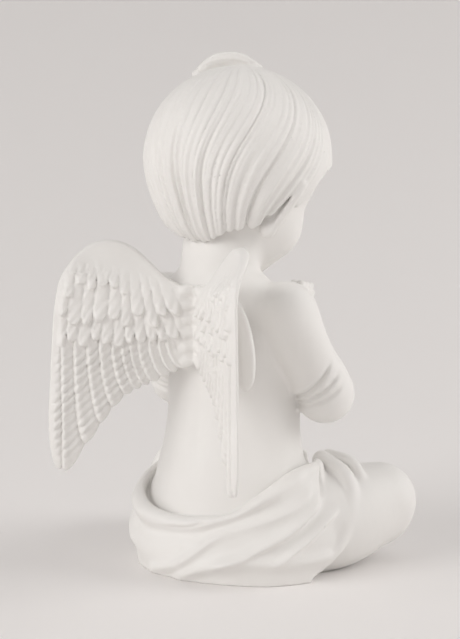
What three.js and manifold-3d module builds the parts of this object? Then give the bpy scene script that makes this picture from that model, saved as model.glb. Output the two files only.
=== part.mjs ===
// Seated cherub with spread wings, a mantelpiece figure in unglazed white porcelain.
// One casting: trunk, limbs, head, hair, wings and hip cloth are joined into a single solid.
// Millimetres, +Z up, the figure faces -Y, and the origin is under its trunk on the table.
import * as THREE from "three";
import { LoftGeometry } from "three/addons/geometries/LoftGeometry.js";
import { mergeVertices } from "three/addons/utils/BufferGeometryUtils.js";
import Module from "manifold-3d";

const wasm = await Module();
wasm.setup();

const { degToRad, euclideanModulo, lerp, radToDeg, smoothstep } = THREE.MathUtils;
const TURN = Math.PI * 2;

// Driving dimensions

// Trunk stations from seat to neck: height, centre to the front, half width, half depth.
const TRUNK = [
  [1, 1, 29, 22],
  [14, 0, 29, 23],
  [30, -0.5, 25.5, 21.5],
  [44, 0.5, 22.6, 19.8],
  [57, 1, 22, 19.3],
  [70, -0.5, 23.5, 18.5],
  [80, -3, 26, 16.5],
  [88, -6, 23, 13],
  [94, -8, 14.5, 11.4],
  [103, -8, 11.8, 11],
  [112, -5, 11.6, 11.5],
];
const TRUNK_GRID = { rows: 11, sides: 18 };

// Limb stations: to the figure's right, to its front, up, radius. The left side mirrors the right.
const UPPER_ARM = [
  [24, -4, 81.5, 10],
  [28.5, 1.5, 71, 9.8],
  [30.5, 10, 58.5, 8.9],
];
const ARM_ROLL = [
  [29.8, 6.8, 63.2, 9.5],
  [30.2, 8.4, 60.6, 9.5],
];
const FOREARM = [
  [30, 12, 57, 8.6],
  [21, 20, 65.5, 7.4],
  [9, 30, 75, 4.8],
];
const THIGH = [
  [16, 4, 15, 18],
  [28, 17, 16, 16.6],
  [37, 30, 20, 12.4],
];
// The shins cross in front, the left one outside, each with its foot under the other knee.
const RIGHT_SHIN = [
  [36, 31, 16, 11],
  [19, 37, 11, 9],
  [-2, 38, 7.5, 6.4],
];
const LEFT_SHIN = [
  [-36, 31, 16, 11],
  [-20, 43, 11, 9],
  [2, 50, 7.5, 6],
];
const RIGHT_FOOT = [
  [-2, 38, 6.5, 5.6],
  [-12, 36.5, 5.4, 5.2],
  [-20, 34, 4.4, 3.8],
];
const LEFT_FOOT = [
  [1, 50, 6.5, 5.6],
  [12, 48.5, 5.4, 5.2],
  [20.5, 45, 4.4, 3.8],
];
const LIMB_GRID = { sides: 9, steps: 3, domes: [1, 0.85, 0.45] };
const FOOT_GRID = { sides: 8, steps: 2, domes: [1, 0.6] };
const ROLL_GRID = { sides: 7, steps: 6, domes: [1, 0.6] };
const FINGER_GRID = { sides: 5, steps: 1, domes: [1, 0.5] };

// Praying hands, palms together on the middle plane, each leaning to the front.
const PALM = { centre: [3.2, 33.5, 77], half: [2.6, 4.4, 6.2], lean: 42 };
const FINGER = { count: 4, start: 3, length: 11, radius: 1.4, gap: 2.2, tuck: 1.3, spread: 1, taper: 0.6 };
const THUMB = [
  [4.2, 30, 76, 1.9],
  [3, 29, 82, 1.5],
];

// Head, in its own frame about its middle.
const HEAD = { centre: [0, 4, 124.5], turn: 5, nod: 8 };
const SKULL = { centre: [0, -3.5, -5], half: [21, 22, 27], sides: 16, rows: 11 };
const FEATURES = [
  { name: "nose tip", centre: [0, 18, -9.5], half: [2.5, 3, 2.4] },
  { name: "nose bridge", centre: [0, 16.4, -5.5], half: [1.8, 2.2, 5] },
  { name: "chin", centre: [0, 7.6, -25.2], half: [7, 6, 5.5] },
  { name: "upper lip", centre: [0, 14.8, -16.2], half: [4.2, 2.2, 1.3] },
  { name: "lower lip", centre: [0, 14, -18.6], half: [3.2, 2.4, 1.5] },
];
const PAIRED_FEATURES = [
  { name: "closed lid", centre: [8.6, 14.8, -5], half: [4, 2.2, 1.9] },
  { name: "cheek", centre: [10.5, 6, -15], half: [9, 8.6, 8.5] },
  { name: "ear", centre: [24, -6.5, -9], half: [2.8, 4.6, 7.5] },
];
const FEATURE_GRID = { sides: 8, rows: 5 };

// Hair: a bowl-shaped cap. The rim lists a share of the half turn from behind to the front, and
// how far the hair hangs there, in degrees down from the crown.
const HAIR = { centre: [0, -1.5, 6], half: [30.3, 30, 29.6], sides: 48, rows: 8, wall: 4.5 };
const HAIR_RIM = [
  [-0.2, 149],
  [0, 149],
  [0.3, 145],
  [0.52, 124],
  [0.72, 100],
  [1, 86],
  [1.2, 86],
];
const LOCKS = { count: 16, depth: 1.6, sweep: 0.5, fadeFrom: 0.25, fadeTo: 1.3 };
const TUFT = [
  [2, 4, 34, 2.2],
  [-5, 1, 36.4, 3.6],
  [-13, -2, 34.6, 3.5],
  [-20, -5, 28.5, 1.4],
];

// Wings: a cambered plate swept back from the shoulder blades, in distances out from the root.
const WING = { root: [5, -15.5], sweep: 42, start: -3, span: 43, feathers: 11, columns: 2 };
const WING_TOP = { root: 90, wrist: 106, wristAt: 25, outer: 60, rise: 1.7, fall: 2.6, least: 14 };
const WING_FOOT = { root: 64, tip: 35, tipAt: 39, bend: 2.2, lift: 1.2, scallop: 2.4 };
const WING_ROWS = { brow: [99, 94], quills: [64, 48], back: [50, 65, 80, 95], slack: 0.8 };
const WING_DEPTH = { root: 3.6, edge: 1.1, crown: 0.8, face: 0.6 };
const WING_LEAN = { start: 1, by: 4.5, from: 72, to: 106 };
const TIERS = { heights: [92, 83, 75], drop: 0.6, step: 1, scallop: 2.2 };
const SCAPULAR = { centre: [13, -16.2, 77], half: [5.6, 3.2, 11.5], tilt: -12, turn: 24, sides: 10, rows: 7 };
const DOWN = { count: 5, low: 67, high: 88, radius: 2.9, out: 2.6, sides: 6, rows: 5 };

// Hip cloth: a wrap round the seat, low behind and high at the right hip. Stations: bearing in degrees
// (0 behind, 90 the figure's right), widest radius, rim radius, rim height.
const CLOTH = [
  [-180, 38, 23, 36],
  [-145, 38, 26, 35],
  [-115, 40, 28.5, 33.5],
  [-88, 37, 30, 30.5],
  [-60, 33, 31, 25.5],
  [-38, 31, 29.5, 22],
  [-15, 29, 27, 20.5],
  [10, 28.5, 26.5, 20.8],
  [35, 30, 27.5, 22.5],
  [55, 33, 28.5, 29],
  [78, 36, 27.5, 34.5],
  [105, 40.5, 29, 35.5],
  [125, 38, 27, 36],
  [150, 38, 25, 36],
];
const CLOTH_FORM = { centre: 1, wall: 3, tuck: 1.8, widestAt: 0.35, inner: [10, 14], shoulder: 7 };
const CLOTH_ROLL = { below: 2.6, width: 2.4, rise: 1.2 };
const CLOTH_GRID = { sides: 40, shares: [0, 0.15, 0.3, 0.45, 0.59, 0.72, 0.84, 0.93, 1] };
// Fold ridges: middle bearing and span in degrees, heights at the two ends, sag, width and rise.
const FOLDS = [
  { middle: 25, span: 140, ends: [9, 28], sag: 0, width: 3, rise: 2.6 },
  { middle: 45, span: 100, ends: [3, 21], sag: 0, width: 2.6, rise: 2.4 },
  { middle: 77, span: 66, ends: [3.5, 18], sag: 0, width: 2.6, rise: 2 },
  { middle: -68, span: 90, ends: [21, 12], sag: 2, width: 3.2, rise: 2 },
  { middle: 180, span: 110, ends: [31, 31], sag: 5, width: 3, rise: 2.2 },
  { middle: 180, span: 100, ends: [24, 24], sag: 8, width: 3, rise: 2.2 },
];
const FOLD_FADE = 0.14;
// The turned-over end of the cloth makes two rolls over the right thigh and one over the left.
const HEM_ROLL = [
  [31, -4, 2.5, 3.6],
  [39, 5, 10, 3.8],
  [41, 11, 21, 3.8],
  [36, 14, 30.5, 3.6],
  [25, 15, 34, 3.6],
];
const HEM_ROLL_BEHIND = [
  [41, 15, 14, 2.4],
  [40.5, 17, 25, 2.6],
  [35, 19, 33, 2.6],
  [25, 20, 34, 2.6],
];
const BELOW_TABLE = { side: 300, depth: 60 };

// Geometry helpers

// A point as the figure feels it: to its right, to its front, and up.
const at = (right, front, up) => new THREE.Vector3(-right, -front, up);

const mirrored = (stations) => stations.map(([right, ...rest]) => [-right, ...rest]);

// Values between stations, whose first number is where they stand.
function between(stations) {
  const places = stations.map((s) => s[0]);
  const values = stations.flatMap((s) => s.slice(1));
  const cubic = new THREE.CubicInterpolant(places, values, stations[0].length - 1);
  return (place) => [...cubic.evaluate(place)];
}

function ring(count, point) {
  return Array.from({ length: count }, (_, i) => point((i / count) * TURN));
}

// A closed mesh as a solid, its faces turned outwards. Triangles drawn to nothing at a pole are dropped.
function solid(geometry) {
  const bare = new THREE.BufferGeometry().setIndex(geometry.index);
  bare.setAttribute("position", geometry.getAttribute("position"));
  const merged = mergeVertices(bare, 1e-4);
  const corners = merged.index.array;
  const triangles = [];
  for (let i = 0; i < corners.length; i += 3) {
    const [a, b, c] = corners.slice(i, i + 3);
    if (a !== b && b !== c && c !== a) triangles.push(a, b, c);
  }
  const made = (list) =>
    new wasm.Manifold(
      new wasm.Mesh({
        numProp: 3,
        vertProperties: merged.attributes.position.array,
        triVerts: new Uint32Array(list),
      }),
    );
  const first = made(triangles);
  return first.volume() > 0 ? first : made(triangles.reverse());
}

// A closed skin through rings of points, drawn in to a pole at each end.
function loft(sections) {
  const pole = (section) => {
    const middle = section.reduce((sum, p) => sum.add(p), new THREE.Vector3());
    middle.divideScalar(section.length);
    return section.map(() => middle);
  };
  return solid(new LoftGeometry([pole(sections[0]), ...sections, pole(sections.at(-1))]));
}

// A round limb through its stations, with domed ends.
function limb(stations, { sides, steps, domes } = LIMB_GRID) {
  const path = new THREE.CatmullRomCurve3(stations.map(([r, f, u]) => at(r, f, u)));
  const radiusAt = between(stations.map((s, i) => [i / (stations.length - 1), s[3]]));
  const frames = path.computeFrenetFrames(steps);
  const section = (step, shrink, reach) => {
    const share = step / steps;
    const radius = radiusAt(share)[0];
    const middle = path.getPoint(share).addScaledVector(frames.tangents[step], reach * radius);
    return ring(sides, (angle) =>
      middle
        .clone()
        .addScaledVector(frames.normals[step], Math.cos(angle) * radius * shrink)
        .addScaledVector(frames.binormals[step], Math.sin(angle) * radius * shrink),
    );
  };
  const dome = (step, way) => domes.map((d) => section(step, Math.sqrt(1 - d * d), way * d));
  const middle = Array.from({ length: steps + 1 }, (_, step) => section(step, 1, 0));
  return loft([...dome(0, -1), ...middle, ...dome(steps, 1).reverse()]);
}

function ellipsoid(centre, half, { sides, rows }, turn = new THREE.Euler()) {
  const upright = new THREE.Matrix4().makeRotationX(Math.PI / 2);
  const place = new THREE.Matrix4().compose(
    at(...centre),
    new THREE.Quaternion().setFromEuler(turn),
    new THREE.Vector3(...half),
  );
  return solid(new THREE.SphereGeometry(1, sides, rows).applyMatrix4(upright).applyMatrix4(place));
}

const join = (pieces) => pieces.reduce((all, piece) => all.add(piece));

// Trunk and limbs

function makeTrunk() {
  const stationAt = between(TRUNK);
  const low = TRUNK[0][0];
  const high = TRUNK.at(-1)[0];
  const { rows, sides } = TRUNK_GRID;
  return loft(
    Array.from({ length: rows + 1 }, (_, i) => {
      const height = lerp(low, high, i / rows);
      const [front, halfWidth, halfDepth] = stationAt(height);
      return ring(sides, (a) => at(halfWidth * Math.cos(a), front + halfDepth * Math.sin(a), height));
    }),
  );
}

function makeArms() {
  const right = [UPPER_ARM, ARM_ROLL, FOREARM];
  return join([...right, ...right.map(mirrored)].map((stations) => limb(stations)));
}

function makeHand(side) {
  const [right, front, up] = PALM.centre;
  const lean = degToRad(PALM.lean);
  const reach = { front: Math.sin(lean), up: Math.cos(lean) };
  const palm = ellipsoid([side * right, front, up], PALM.half, FEATURE_GRID, new THREE.Euler(lean, 0, 0));
  const fingers = Array.from({ length: FINGER.count }, (_, i) => {
    const across = (i - (FINGER.count - 1) / 2) * FINGER.gap;
    const end = FINGER.start + FINGER.length - Math.abs(across - FINGER.gap / 2) * FINGER.taper;
    const station = (along, inset) => [
      side * (FINGER.tuck + inset),
      front + along * reach.front + across * reach.up,
      up + along * reach.up - across * reach.front,
      FINGER.radius,
    ];
    return limb([station(FINGER.start, FINGER.spread), station(end, 0)], FINGER_GRID);
  });
  const thumb = limb(side > 0 ? THUMB : mirrored(THUMB), FINGER_GRID);
  return join([palm, ...fingers, thumb]);
}

function makeLegs() {
  return join([
    ...[THIGH, mirrored(THIGH), RIGHT_SHIN, LEFT_SHIN].map((stations) => limb(stations)),
    ...[RIGHT_FOOT, LEFT_FOOT].map((stations) => limb(stations, FOOT_GRID)),
  ]);
}

// Head

function makeHair() {
  const [halfWidth, halfDepth, halfHeight] = HAIR.half;
  const hangAt = between(HAIR_RIM);
  // How far down from the crown the hair hangs at a bearing (0 behind, half a turn in front).
  const rimAt = (bearing) => {
    const away = Math.abs(Math.atan2(Math.sin(bearing), Math.cos(bearing))) / Math.PI;
    return degToRad(hangAt(away)[0]);
  };
  const point = (bearing, fall, inset) => {
    const wave = Math.cos((bearing + LOCKS.sweep * Math.sin(fall)) * LOCKS.count);
    const groove = (LOCKS.depth * smoothstep(fall, LOCKS.fadeFrom, LOCKS.fadeTo) * (1 - wave)) / 2;
    const shrink = inset + groove;
    return at(
      HAIR.centre[0] + (halfWidth - shrink) * Math.sin(fall) * Math.sin(bearing),
      HAIR.centre[1] - (halfDepth - shrink) * Math.sin(fall) * Math.cos(bearing),
      HAIR.centre[2] + (halfHeight - shrink) * Math.cos(fall),
    );
  };
  const row = (share, inset) => ring(HAIR.sides, (b) => point(b, share * rimAt(b), inset));
  const outside = Array.from({ length: HAIR.rows }, (_, i) => row((i + 0.25) / (HAIR.rows - 0.75), 0));
  // The wall turns in at the rim and runs up inside the head.
  const inside = [row(1.02, HAIR.wall), row(0.6, HAIR.wall * 3)];
  return loft([...outside, ...inside]);
}

function makeHead() {
  const left = PAIRED_FEATURES.map((f) => ({ ...f, centre: mirrored([f.centre])[0] }));
  const features = [...FEATURES, ...PAIRED_FEATURES, ...left];
  const head = join([
    ellipsoid(SKULL.centre, SKULL.half, SKULL),
    ...features.map(({ centre, half }) => ellipsoid(centre, half, FEATURE_GRID)),
    makeHair(),
    limb(TUFT, ROLL_GRID),
  ]);
  const pose = new THREE.Euler(degToRad(HEAD.nod), 0, -degToRad(HEAD.turn), "ZXY");
  const place = new THREE.Matrix4().makeRotationFromEuler(pose).setPosition(at(...HEAD.centre));
  return head.transform(place.elements);
}

// Wings

// Height of the wing's upper edge at a distance out from the root.
function wingTopAt(out) {
  const { root, wrist, wristAt, outer, rise, fall } = WING_TOP;
  const inner = wrist - (wrist - root) * Math.pow(Math.max(0, 1 - out / wristAt), rise);
  const past = Math.max(0, (out - wristAt) / (WING.span - wristAt));
  return inner - (wrist - outer) * (1 - Math.sqrt(1 - Math.pow(past, fall)));
}

// Height of the feather tips along the trailing edge, before each tip is rounded.
function wingFootAt(out) {
  const { root, tip, tipAt, bend, lift } = WING_FOOT;
  return root - (root - tip) * Math.pow(Math.min(1, out / tipAt), bend) + Math.max(0, out - tipAt) * lift;
}

function makeWing(side) {
  const sweep = degToRad(WING.sweep);
  const [rootRight, rootFront] = WING.root;
  const place = (out, up, lift) =>
    at(
      side * (rootRight + out * Math.cos(sweep) - lift * Math.sin(sweep)),
      rootFront - out * Math.sin(sweep) - lift * Math.cos(sweep),
      up,
    );
  const lean = (up) => WING_LEAN.start - WING_LEAN.by * smoothstep(up, WING_LEAN.from, WING_LEAN.to);
  // Rows down the face: height, how many tiers stand proud there, and whether the row follows the scallops.
  const tierCount = TIERS.heights.length;
  const faceRows = [
    ...WING_ROWS.brow.map((up) => ({ up, tier: tierCount, wavy: false })),
    ...TIERS.heights.flatMap((up, i) => [
      { up, tier: tierCount - i, wavy: true },
      { up: up - TIERS.drop, tier: tierCount - i - 1, wavy: true },
    ]),
    ...WING_ROWS.quills.map((up) => ({ up, tier: 0, wavy: false })),
  ];
  const count = WING.feathers * WING.columns;

  const section = (column) => {
    const share = column / count;
    const out = lerp(WING.start, WING.span, share);
    const reach = Math.max(0, out);
    const crown = Math.sin(((column % WING.columns) / WING.columns) * Math.PI);
    const top = wingTopAt(reach);
    const foot = Math.min(wingFootAt(reach) - WING_FOOT.scallop * crown, top - WING_TOP.least);
    const depth = lerp(WING_DEPTH.root, WING_DEPTH.edge, smoothstep(share, 0, 0.8));
    const bulge = WING_DEPTH.crown * crown;
    const within = (up, slack) => Math.min(Math.max(up, foot + slack), top - WING_TOP.least + slack);
    const face = faceRows.map(({ up, tier, wavy }, i) => {
      const scallop = wavy ? TIERS.scallop * crown : 0;
      const height = within(up - scallop, (faceRows.length - i) * WING_ROWS.slack);
      return place(out, height, lean(height) + depth * WING_DEPTH.face + TIERS.step * tier + bulge);
    });
    const back = WING_ROWS.back.map((up, i) => {
      const height = within(up, (i + 1) * 2 * WING_ROWS.slack);
      return place(out, height, lean(height) - depth - bulge / 2);
    });
    return [place(out, top, lean(top)), ...face, place(out, foot, lean(foot)), ...back];
  };
  const plate = loft(Array.from({ length: count + 1 }, (_, column) => section(column)));
  const [scapularRight, scapularFront, scapularUp] = SCAPULAR.centre;
  const scapular = ellipsoid(
    [side * scapularRight, scapularFront, scapularUp],
    SCAPULAR.half,
    SCAPULAR,
    new THREE.Euler(0, side * degToRad(SCAPULAR.tilt), side * degToRad(SCAPULAR.turn)),
  );
  const down = Array.from({ length: DOWN.count }, (_, i) => {
    const middle = place(DOWN.out, lerp(DOWN.low, DOWN.high, i / (DOWN.count - 1)), DOWN.radius);
    return ellipsoid([-middle.x, -middle.y, middle.z], Array(3).fill(DOWN.radius), DOWN);
  });
  return join([plate, scapular, ...down]);
}

// Hip cloth

// How far the folds raise the cloth at a bearing in degrees and a height.
function foldRise(bearing, up) {
  return FOLDS.reduce((rise, { middle, span, ends, sag, width, rise: most }) => {
    const share = 0.5 + (euclideanModulo(bearing - middle + 180, 360) - 180) / span;
    const fromEnd = Math.min(share, 1 - share);
    const inside = smoothstep(fromEnd, -FOLD_FADE, FOLD_FADE);
    const line = lerp(...ends, share) - sag * Math.sin(Math.PI * share);
    const across = (up - line) / width;
    return rise + most * inside * Math.exp(-across * across);
  }, 0);
}

function makeCloth() {
  const shifted = (stations, by) => stations.map(([bearing, ...rest]) => [bearing + by, ...rest]);
  const before = shifted(CLOTH.slice(-2), -360);
  const after = shifted(CLOTH.slice(0, 3), 360);
  const stationAt = between([...before, ...CLOTH, ...after]);
  const { sides, shares } = CLOTH_GRID;
  const { centre, wall, tuck, widestAt, inner, shoulder } = CLOTH_FORM;
  const place = (bearing, radius, up) => {
    const angle = degToRad(bearing);
    return at(radius * Math.sin(angle), centre - radius * Math.cos(angle), up);
  };
  const round = (point) =>
    ring(sides, (angle) => {
      const bearing = radToDeg(angle) - 180;
      const [widest, rim, height] = stationAt(bearing);
      return point(bearing, widest, rim, height);
    });
  const outside = shares.map((share) =>
    round((bearing, widest, rim, height) => {
      const up = share * height;
      const under = tuck * (1 - smoothstep(share, 0, widestAt));
      const radius = lerp(widest, rim, smoothstep(share, widestAt, 1)) - under;
      const across = (height - CLOTH_ROLL.below - up) / CLOTH_ROLL.width;
      const roll = CLOTH_ROLL.rise * Math.exp(-across * across);
      return place(bearing, radius + roll + foldRise(bearing, up), up);
    }),
  );
  const inside = [
    round((bearing, _, rim, height) => place(bearing, rim - wall, height)),
    round((bearing, _, rim, height) => place(bearing, rim - 2 * wall, height - shoulder)),
    round((bearing) => place(bearing, ...inner)),
  ];
  const rolls = [HEM_ROLL, HEM_ROLL_BEHIND, mirrored(HEM_ROLL)].map((stations) => limb(stations, ROLL_GRID));
  return join([loft([...outside, ...inside]), ...rolls]);
}

// The whole casting, cut flat where it stands

function makeFigure() {
  const whole = join([
    makeTrunk(),
    makeArms(),
    makeHand(1),
    makeHand(-1),
    makeLegs(),
    makeHead(),
    makeWing(1),
    makeWing(-1),
    makeCloth(),
  ]);
  const { side, depth } = BELOW_TABLE;
  return whole.subtract(solid(new THREE.BoxGeometry(side, side, depth).translate(0, 0, -depth / 2)));
}

function meshOf(name, body, material) {
  const { vertProperties, triVerts, numProp } = body.getMesh();
  const geometry = new THREE.BufferGeometry();
  const positions = new THREE.InterleavedBuffer(vertProperties, numProp);
  geometry.setAttribute("position", new THREE.InterleavedBufferAttribute(positions, 3, 0));
  geometry.setIndex(new THREE.BufferAttribute(triVerts, 1));
  geometry.computeVertexNormals();
  const mesh = new THREE.Mesh(geometry, material);
  mesh.name = name;
  return mesh;
}

const bisque = new THREE.MeshStandardMaterial({ color: 0xece8e2, roughness: 0.62, metalness: 0 });
const cherub = new THREE.Group();
cherub.add(meshOf("seated_cherub", makeFigure(), bisque));

export default cherub;
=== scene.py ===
import bpy
import numpy as np
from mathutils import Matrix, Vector


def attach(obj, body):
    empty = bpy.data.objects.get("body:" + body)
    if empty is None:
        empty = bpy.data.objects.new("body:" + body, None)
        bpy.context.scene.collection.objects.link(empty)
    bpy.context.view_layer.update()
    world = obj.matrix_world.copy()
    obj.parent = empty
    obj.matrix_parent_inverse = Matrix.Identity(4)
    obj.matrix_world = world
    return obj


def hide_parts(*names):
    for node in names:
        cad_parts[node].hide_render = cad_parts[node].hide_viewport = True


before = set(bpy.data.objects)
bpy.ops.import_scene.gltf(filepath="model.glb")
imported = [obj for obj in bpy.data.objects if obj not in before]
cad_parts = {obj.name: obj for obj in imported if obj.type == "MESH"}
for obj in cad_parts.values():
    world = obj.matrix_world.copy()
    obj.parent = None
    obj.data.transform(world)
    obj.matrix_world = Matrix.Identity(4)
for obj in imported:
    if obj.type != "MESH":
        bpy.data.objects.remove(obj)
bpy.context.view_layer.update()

# The figure is sculpted as one field of signed distances in millimetres, along its own axes:
# to its right, to its front, and up. The field is meshed once, so every form runs into the next
# as it does in a slip casting.

MM = 0.001
PITCH = 0.5
BLOCK = 8
SUB_BLOCK = 4
TRIANGLES = 196000
MARGIN = 4.0
FAR = 1e3
TINY = 1e-6
NEAR = {"blocks": 1.5, "spare": 1}
BATCHES = 12
BORDER = 3
LEAST_SLOPE = 0.2
STEPS = {"limb": 14, "finger": 3, "foot": 5, "hem": 16, "crease": 8}

# Trunk stations from seat to neck: height, centre to the front, half width, half depth
TRUNK = [
    (0, 1, 29, 22),
    (14, 0, 29, 23),
    (30, -0.5, 25.5, 21.5),
    (44, 0.5, 22.6, 19.8),
    (57, 1, 22, 19.3),
    (70, -0.5, 23.5, 18.5),
    (80, -3, 25.5, 16.5),
    (87, -5, 24, 14),
    (92, -6.5, 19.5, 11.5),
    (96, -6.8, 14.6, 10.2),
    (103, -6.2, 13.2, 9.6),
    (112, -3, 12.5, 9.5),
]
SPINE = {"depth": 0.6, "width": 2.6, "begins": (30, 42), "ends": (62, 82)}
NAVEL = {"height": 46, "radius": 1.6, "depth": 1.2}
NECK_ROUND = 3

# Limb stations: right, front, up, radius; the left side mirrors the right
UPPER_ARM = [(23, -4, 83.6, 10.3), (26.4, 0.5, 72.5, 8.9), (28.6, 8, 61.5, 8.4)]
ARM_ROLL = [(28, 7, 62, 8.8), (28.8, 9.6, 57.2, 9)]
FOREARM = [(28.4, 11.6, 57, 8.5), (19.4, 19.4, 66, 6.4), (8.6, 29.6, 75, 4.6)]
THIGH = [(16, 4, 15, 18), (28, 17, 16, 16.6), (37, 30, 20, 12.4)]
RIGHT_SHIN = [(36, 31, 16, 11), (19, 37, 11, 9), (-2, 38, 7.5, 6.4)]
LEFT_SHIN = [(-36, 31, 16, 11), (-20, 43, 11, 9), (2, 50, 7.5, 6)]
RIGHT_FOOT = [(-2, 38, 6.5, 5.6), (-12, 36.5, 5.4, 5.2), (-18, 34.5, 4.4, 3.8)]
LEFT_FOOT = [(1, 50, 6.5, 5.6), (12, 48.5, 5.4, 5.2), (18.5, 45.6, 4.4, 3.8)]
TOES = {
    "count": 5, "radius": 2.1, "spread": 7.0, "reach": 2.6, "arc": 3, "longest": -0.2, "drop": 1,
    "big": 1.1, "taper": 0.35,
}

# Creases fan out from the inside of the elbow, each with an angle above level, a drop and a depth
CREASE = {
    "pivot": (25.1, -1.7, 56.2), "view": 35, "width": 0.8, "curl": 0.02, "bend": 4,
    "begins": (-4, 1), "ends": (12, 18), "front_ends": (9, 14),
    "folds": ((38, 0, 1.5), (28, -1.6, 1.3), (19, -2.9, 1.0)),
}

ELBOW_JOIN = 2.5

# Praying hands, palms together on the middle plane
PALM = {"centre": (3.1, 33.5, 77), "half": (2.7, 4.6, 6.6), "lean": 42}
FINGER = {
    "count": 4, "start": 3, "length": 11, "radius": 1.5, "gap": 2.2, "tuck": 1.4, "taper": 0.6,
    "spread": (1, 0.7, 0),
}
THUMB = [(4.2, 30, 76, 1.9), (3, 29, 82, 1.6)]

# Head, in its own frame about its middle
HEAD = {"centre": (0, 4, 124.5), "turn": 5, "nod": 8}
FACE = [
    # centre, half sizes, blend
    ((0, -1.5, 6), (27, 26.5, 22), 1),
    ((0, 1.5, -10), (19.5, 17.5, 19.5), 6),
    ((0, 6.4, -24), (8, 6.4, 6), 5),
    ((9.5, 5.6, -14.5), (10, 9, 9), 5),
    ((-9.5, 5.6, -14.5), (10, 9, 9), 5),
    ((0, 20.2, -5), (1.6, 2.4, 5.2), 2),
    ((0, 20.2, -9.2), (2.4, 2.9, 2.2), 1.6),
    ((2.1, 19, -9.9), (1.4, 1.8, 1.4), 1),
    ((-2.1, 19, -9.9), (1.4, 1.8, 1.4), 1),
    ((0, 17.4, -15.6), (4.2, 2.0, 1.3), 1),
    ((0, 16.4, -18.2), (3.4, 2.3, 1.7), 1),
    ((8.2, 18.2, -4.6), (4.4, 2.7, 2.8), 1.2),
    ((-8.2, 18.2, -4.6), (4.4, 2.7, 2.8), 1.2),
    ((7.8, 21.4, 1.6), (5.2, 2.2, 1.4), 2.5),
    ((-7.8, 21.4, 1.6), (5.2, 2.2, 1.4), 2.5),
]
# Closed lids and mouth as fine seams: right, up, half length, sag, depth, width
SEAMS = [
    (8.4, -5.6, 4.1, 1.4, 1.0, 0.5),
    (-8.4, -5.6, 4.1, 1.4, 1.0, 0.5),
    (0, -16.8, 4.4, 0.5, 1.0, 0.45),
]
SEAM_ENDS = (0.8, 1.1)
SEAM_FRONT = 8

# Hair: bearing is 0 behind and 90 at the figure's right, fall is degrees down from the crown
HAIR = {"centre": (0, -1.5, 6), "half": (30.3, 30, 29.6), "edge": 1.4, "notch": 2.5, "notch_width": 0.22}
HAIR_RIM = [
    (0, 153), (20, 149), (32, 143), (47, 140), (62, 137), (68, 131), (74, 123), (79, 114),
    (83, 113), (87, 120), (91, 117), (97, 108), (108, 98.5), (127, 91.5), (150, 88), (180, 86),
]
HAIR_DRIFT = [(0, 0), (50, 0), (70, 6), (85, 14), (97, 22), (110, 30), (125, 36), (145, 34), (180, 34)]
DRIFT_PEAK = 70
# Furrows between locks, strands and hairs: spacing in degrees, width as a share of it, fade-in falls
FURROWS = [
    {"spacing": 13, "width": 0.11, "depth": 1.1, "fade": (60, 120), "seed": 3},
    {"spacing": 13, "width": 0.36, "depth": 1.2, "fade": (55, 120), "seed": 3},
    {"spacing": 4.6, "width": 0.2, "depth": 0.42, "fade": (3, 60), "seed": 11},
    {"spacing": 2.1, "width": 0.26, "depth": 0.13, "fade": (6, 40), "seed": 23},
    {"spacing": 7, "width": 0.15, "depth": 0.48, "fade": (8, 26), "seed": 17},
]
# The furrows are shallower on the left and at the nape
CALM = {"left": 0.65, "gain": 0.35, "between": (-25, 5), "nape": 0.55, "nape_falls": (128, 150)}
WAVE = {"turn": 2.4, "fall": 4.2, "bearing": 1.7}
NAPE = {"swell": 2.2, "low": 112, "high": 146, "narrow": 25, "wide": 75}
# The lock swept over the crown, and the crease below it
TUFT = [
    (5, -1, 35.2, 1.0), (0, -4.5, 37.2, 2.2), (-4, -7.3, 36.9, 2.6), (-8, -9.4, 35.2, 2.3),
    (-12.5, -12, 31.6, 0.8),
]
TUFT_GROOVE = {"depth": 0.4, "spacing": 34, "width": 0.16, "seed": 51}
TUFT_CREASE = [
    (1.5, -6.6, 35.2, 0.4), (-2.6, -9.4, 34.4, 1.0), (-6.6, -11.4, 33, 1.0),
    (-10.5, -13, 30.6, 0.4),
]
EAR = {
    "lobe": (18.8, -6, -16.8), "top": (28.6, -3.2, -1), "flare": (0.72, -0.69, 0.0),
    "half": (1.6, 2.4, 9.4),
    "helix_join": 1, "lobe_join": 1.5, "bed_join": 0.8,
}
EAR_LOBE = {"centre": (18.6, -6.8, -15.4), "half": (2.7, 2.4, 2.9)}
EAR_BED = {"shift": (-1.7, -1.3, 0), "half": (3.2, 1.2, 9.0)}
HELIX = {"radius": 1.0, "start": -70, "end": 150, "steps": 10}

# Wings, in distances out from the root along the swept plate, and up
WING = {"root": (5, -15.5), "sweep": 42, "start": -4}
WING_TOP = [
    (-4, 89), (4, 92.7), (8.7, 95.4), (12, 98.8), (17, 103.4), (21, 105.5), (26, 106.3), (32, 104.7),
    (37, 101), (46, 92),
]
WING_EDGE = [
    (28, 39), (34, 42.4), (38, 44), (44, 45), (52, 45.2), (62, 44.6), (75, 43.8), (86, 42.9), (93, 41.6),
    (98, 39.6), (102, 36.8), (105, 33), (108, 26),
]
WING_FOOT = [
    (-4, 70), (3, 67.4), (8, 65), (12, 63.2), (16, 61.6), (21.4, 58.4), (26, 53.4), (30, 47.8), (33.7, 42.6),
    (37.4, 37.4), (40.5, 35.2), (43.5, 37.4), (46, 45),
]
WING_LEAN = {"plane": 3.6, "by": 5.2, "low": 88, "high": 108, "outer": 0.6, "outer_from": (30, 44)}
WING_DEPTH = [(-4, 3.0), (6, 2.0), (16, 1.2), (30, 0.8), (40, 0.6), (46, 0.45)]
BROW = {
    "swell": 1.3, "low": 84, "high": 104, "ends": (28, 42), "front_share": 0.5,
    "smooth": (94, 101), "slope": 0.25, "middle": 30,
}
WING_RIM = {"begins": 3, "ends": 0.8, "smooth": 0.8}
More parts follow.
